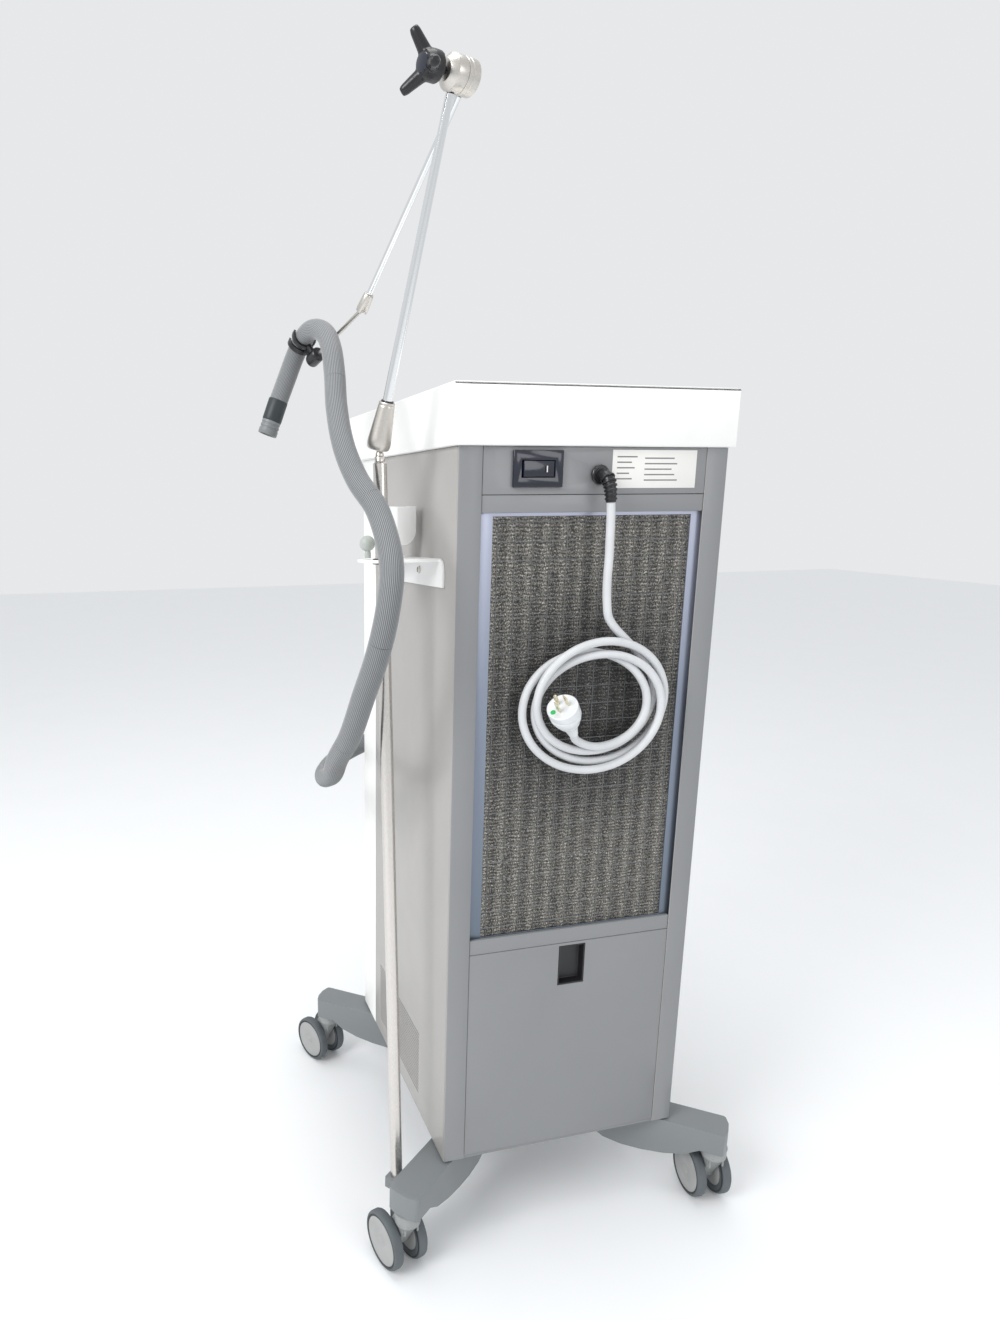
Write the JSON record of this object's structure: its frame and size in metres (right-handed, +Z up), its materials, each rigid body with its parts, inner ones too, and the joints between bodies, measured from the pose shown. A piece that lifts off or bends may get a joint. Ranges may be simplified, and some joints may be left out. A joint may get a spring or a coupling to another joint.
{
  "type": "cold air therapy unit",
  "caption": "Upright cabinet on four splayed legs with twin-wheel casters, a rear air filter, and a jointed arm on a side pole that carries an insulated air hose.",
  "frame": {"origin": "floor level, under the middle of the overall box measured without the hose, the mains lead and what is on them", "axes": "+Z up, +Y towards the rear panel with the mains switch and filter, +X towards the side with the pole and arm"},
  "size_m": [0.6137, 0.6298, 1.4232],
  "materials": {
    "rear": "satin mid grey paint",
    "side": "satin light warm grey paint",
    "black": "satin black",
    "aluminium": "brushed, cool tint",
    "mesh": "knitted wire",
    "white": "smooth white",
    "display": "dark glass",
    "dark": "moulded dark grey",
    "legs": "satin mid grey cast metal",
    "tyre": "grey non-marking",
    "chassis": "dark grey paint",
    "compressor": "black enamel",
    "tank": "translucent milky",
    "gloss_black": "glossy black",
    "cable": "smooth light grey",
    "steel": "fine turned nickel grey",
    "bracket": "white powder coat",
    "frosted": "frosted grey",
    "chrome": "polished",
    "hose": "matt grey with fine lengthways ribs",
    "cuff": "satin near-black"
  },
  "bodies": {
    "cabinet": {"base_plate": "rear", "side_panel_pole_side": "side", "side_panel_plain_side": "side", "rear_rail_lower": "rear", "rear_rail_upper": "rear", "switch_panel": "rear", "top_cover": "white", "front_cover": "white", "display_panel": "display", "hose_outlet": "dark", "rear_leg_pole_side": "legs", "rear_leg_plain_side": "legs", "front_leg_pole_side": "legs", "front_leg_plain_side": "legs", "inner_chassis": "chassis", "compressor": "compressor", "condenser": "aluminium", "evaporator": "dark", "blower_housing": "dark", "air_duct": "dark", "control_box": "aluminium", "water_container": "tank", "switch_bezel": "gloss_black", "mains_strain_relief": "black", "mains_cord": "cable", "mains_cord_coil": "cable", "mains_plug": "white", "pole": "steel", "pole_foot_clamp": "legs", "pole_bracket": "bracket", "hose_hook": "bracket", "hose_lower": "hose"},
    "condenser_fan": {"condenser_fan": "black"},
    "blower_wheel": {"blower_wheel": "black"},
    "service_flap": {"service_flap": "rear", "finger_pull_cup": "black"},
    "air_filter": {"filter_frame": "aluminium", "filter_mesh": "mesh"},
    "mains_rocker": {"mains_rocker": "gloss_black"},
    "bracket_knob": {"bracket_knob": "frosted"},
    "arm_foot": {"lower_ball_stud": "steel"},
    "lower_arm": {"lower_joint_housing": "steel", "lower_arm": "chrome", "elbow_drum_lower": "steel"},
    "elbow_knob": {"elbow_knob": "black"},
    "upper_arm": {"elbow_drum_upper": "steel", "upper_arm": "chrome"},
    "wrist": {"wrist_housing": "steel"},
    "end_rod": {"end_rod": "steel", "hose_clip": "black", "hose_upper": "hose", "hose_nozzle": "cuff"},
    "rear_caster_pole_side_fork": {"rear_caster_pole_side_fork": "legs"},
    "rear_caster_pole_side_wheels": {"rear_caster_pole_side_wheels": "tyre"},
    "rear_caster_plain_side_fork": {"rear_caster_plain_side_fork": "legs"},
    "rear_caster_plain_side_wheels": {"rear_caster_plain_side_wheels": "tyre"},
    "front_caster_pole_side_fork": {"front_caster_pole_side_fork": "legs"},
    "front_caster_pole_side_wheels": {"front_caster_pole_side_wheels": "tyre"},
    "front_caster_plain_side_fork": {"front_caster_plain_side_fork": "legs"},
    "front_caster_plain_side_wheels": {"front_caster_plain_side_wheels": "tyre"}
  },
  "joints": [
    {"name": "condenser_fan_spin", "type": "hinge", "parent": "cabinet", "child": "condenser_fan", "pos_m": [-0.02414, 0.13506, 0.71], "axis": [0, 1, 0], "continuous": true},
    {"name": "blower_wheel_spin", "type": "hinge", "parent": "cabinet", "child": "blower_wheel", "pos_m": [-0.02414, 0.00506, 0.7], "axis": [1, 0, 0], "continuous": true},
    {"name": "service_flap_hinge", "type": "hinge", "parent": "cabinet", "child": "service_flap", "pos_m": [-0.02414, 0.21806, 0.139], "axis": [-1, 0, 0], "range_deg": [0, 75]},
    {"name": "air_filter_lift", "type": "slide", "parent": "cabinet", "child": "air_filter", "axis": [0, 0, 1], "range_m": [0, 0.01]},
    {"name": "mains_rocker_tilt", "type": "hinge", "parent": "cabinet", "child": "mains_rocker", "pos_m": [0.05236, 0.22076, 1.0325], "axis": [0, 0, -1], "range_deg": [0, 8]},
    {"name": "bracket_knob_turn", "type": "hinge", "parent": "cabinet", "child": "bracket_knob", "pos_m": [0.22711, 0.12946, 0.9302], "axis": [0, -0.0388, 0.9992], "range_deg": [0, 360]},
    {"name": "arm_swivel", "type": "hinge", "parent": "cabinet", "child": "arm_foot", "pos_m": [0.22116, 0.16026, 1.0648], "axis": [0.0153, -0.0388, 0.9991], "range_deg": [-15, 60], "deforming": ["hose_upper"]},
    {"name": "lower_arm_tilt", "type": "hinge", "parent": "arm_foot", "child": "lower_arm", "pos_m": [0.22116, 0.16026, 1.0648], "axis": [-0.9397, -0.342, 0], "range_deg": [-15, 5]},
    {"name": "elbow_knob_turn", "type": "hinge", "parent": "lower_arm", "child": "elbow_knob", "pos_m": [0.18046, 0.27216, 1.3923], "axis": [-0.9397, -0.342, 0], "range_deg": [0, 90]},
    {"name": "elbow_bend", "type": "hinge", "parent": "lower_arm", "child": "upper_arm", "pos_m": [0.16589, 0.26686, 1.3923], "axis": [-0.9397, -0.342, 0], "range_deg": [-5, 45]},
    {"name": "wrist_swivel", "type": "hinge", "parent": "upper_arm", "child": "wrist", "pos_m": [0.22536, 0.10366, 1.2162], "axis": [0.2404, -0.6598, -0.712], "range_deg": [-20, 20]},
    {"name": "end_rod_tilt", "type": "hinge", "parent": "wrist", "child": "end_rod", "pos_m": [0.22536, 0.10366, 1.2162], "axis": [-0.9697, -0.1953, -0.1465], "range_deg": [-15, 25]},
    {"name": "rear_caster_pole_side_swivel", "type": "hinge", "parent": "cabinet", "child": "rear_caster_pole_side_fork", "pos_m": [0.20643, 0.24631, 0.09], "axis": [0, 0, 1], "continuous": true},
    {"name": "rear_caster_pole_side_spin", "type": "hinge", "parent": "rear_caster_pole_side_fork", "child": "rear_caster_pole_side_wheels", "pos_m": [0.21333, 0.22228, 0.0375], "axis": [0.9613, 0.2756, 0], "continuous": true},
    {"name": "rear_caster_plain_side_swivel", "type": "hinge", "parent": "cabinet", "child": "rear_caster_plain_side_fork", "pos_m": [-0.25471, 0.24631, 0.09], "axis": [0, 0, 1], "continuous": true},
    {"name": "rear_caster_plain_side_spin", "type": "hinge", "parent": "rear_caster_plain_side_fork", "child": "rear_caster_plain_side_wheels", "pos_m": [-0.25733, 0.22145, 0.0375], "axis": [0.9945, -0.1045, 0], "continuous": true},
    {"name": "front_caster_pole_side_swivel", "type": "hinge", "parent": "cabinet", "child": "front_caster_pole_side_fork", "pos_m": [0.20643, -0.21618, 0.09], "axis": [0, 0, 1], "continuous": true},
    {"name": "front_caster_pole_side_spin", "type": "hinge", "parent": "front_caster_pole_side_fork", "child": "front_caster_pole_side_wheels", "pos_m": [0.217, -0.23884, 0.0375], "axis": [0.9063, 0.4226, 0], "continuous": true},
    {"name": "front_caster_plain_side_swivel", "type": "hinge", "parent": "cabinet", "child": "front_caster_plain_side_fork", "pos_m": [-0.25471, -0.21618, 0.09], "axis": [0, 0, 1], "continuous": true},
    {"name": "front_caster_plain_side_spin", "type": "hinge", "parent": "front_caster_plain_side_fork", "child": "front_caster_plain_side_wheels", "pos_m": [-0.25037, -0.2408, 0.0375], "axis": [0.9848, 0.1736, 0], "continuous": true}
  ]
}
